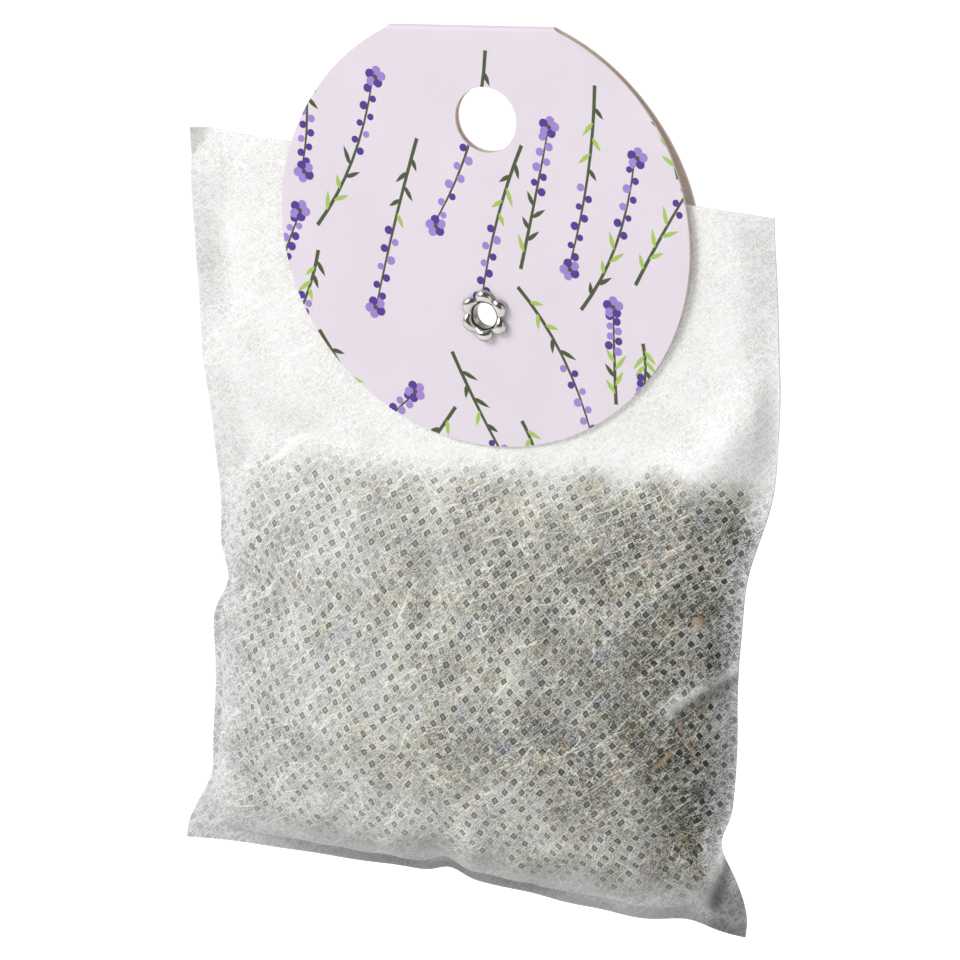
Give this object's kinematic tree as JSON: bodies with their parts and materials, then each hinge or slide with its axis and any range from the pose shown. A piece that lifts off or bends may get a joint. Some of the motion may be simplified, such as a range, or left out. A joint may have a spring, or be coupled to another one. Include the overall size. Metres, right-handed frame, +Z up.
{
  "type": "lavender sachet",
  "caption": "Lavender sachet: a filled nonwoven pouch clinched by an eyelet between the leaves of a folded round card with a hang hole, on which the pouch swivels.",
  "frame": {"origin": "centre of the card's hang hole, midway between the card's two leaves", "axes": "+Z up along the hanging sachet, +Y from the printed front to the back, +X to the right seen from the front"},
  "size_m": [0.1025, 0.029, 0.1432],
  "materials": {
    "printed_board": "matt, printed outside",
    "nickel": "polished",
    "spunbond": "matt, point-bonded nonwoven",
    "dried_herb": "dry, dull",
    "dried_bud": "dry, dull",
    "dried_stem": "dry, dull"
  },
  "bodies": {
    "tag": {"folded_card": "printed_board", "eyelet": "nickel"},
    "bag": {"bag_front_sheet": "spunbond", "bag_back_sheet": "spunbond", "lavender_fill": "dried_herb", "dried_bud_01": "dried_bud", "dried_bud_02": "dried_bud", "dried_bud_03": "dried_bud", "dried_bud_04": "dried_bud", "dried_bud_05": "dried_bud", "dried_bud_06": "dried_bud", "dried_bud_07": "dried_bud", "dried_bud_08": "dried_bud", "dried_bud_09": "dried_bud", "dried_bud_10": "dried_bud", "dried_bud_11": "dried_bud", "dried_bud_12": "dried_bud", "dried_bud_13": "dried_bud", "dried_bud_14": "dried_bud", "dried_bud_15": "dried_bud", "dried_bud_16": "dried_bud", "dried_bud_17": "dried_bud", "dried_bud_18": "dried_bud", "dried_bud_19": "dried_bud", "dried_bud_20": "dried_bud", "dried_bud_21": "dried_bud", "dried_bud_22": "dried_bud", "dried_bud_23": "dried_bud", "dried_bud_24": "dried_bud", "dried_bud_25": "dried_bud", "dried_bud_26": "dried_bud", "dried_bud_27": "dried_bud", "dried_bud_28": "dried_bud", "dried_bud_29": "dried_bud", "dried_bud_30": "dried_bud", "dried_bud_31": "dried_bud", "dried_bud_32": "dried_bud", "dried_bud_33": "dried_bud", "dried_bud_34": "dried_bud", "dried_bud_35": "dried_bud", "dried_bud_36": "dried_bud", "dried_bud_37": "dried_bud", "dried_bud_38": "dried_bud", "dried_bud_39": "dried_bud", "stem_piece_01": "dried_stem", "stem_piece_02": "dried_stem", "stem_piece_03": "dried_stem", "stem_piece_04": "dried_stem", "stem_piece_05": "dried_stem", "stem_piece_06": "dried_stem", "stem_piece_07": "dried_stem", "stem_piece_08": "dried_stem", "stem_piece_09": "dried_stem", "stem_piece_10": "dried_stem", "stem_piece_11": "dried_stem", "stem_piece_12": "dried_stem", "stem_piece_13": "dried_stem"}
  },
  "joints": [
    {"name": "bag_swivel", "type": "hinge", "parent": "tag", "child": "bag", "pos_m": [0, 0, -0.0314], "axis": [0, 1, 0], "range_deg": [-32.2, 27.8]}
  ]
}
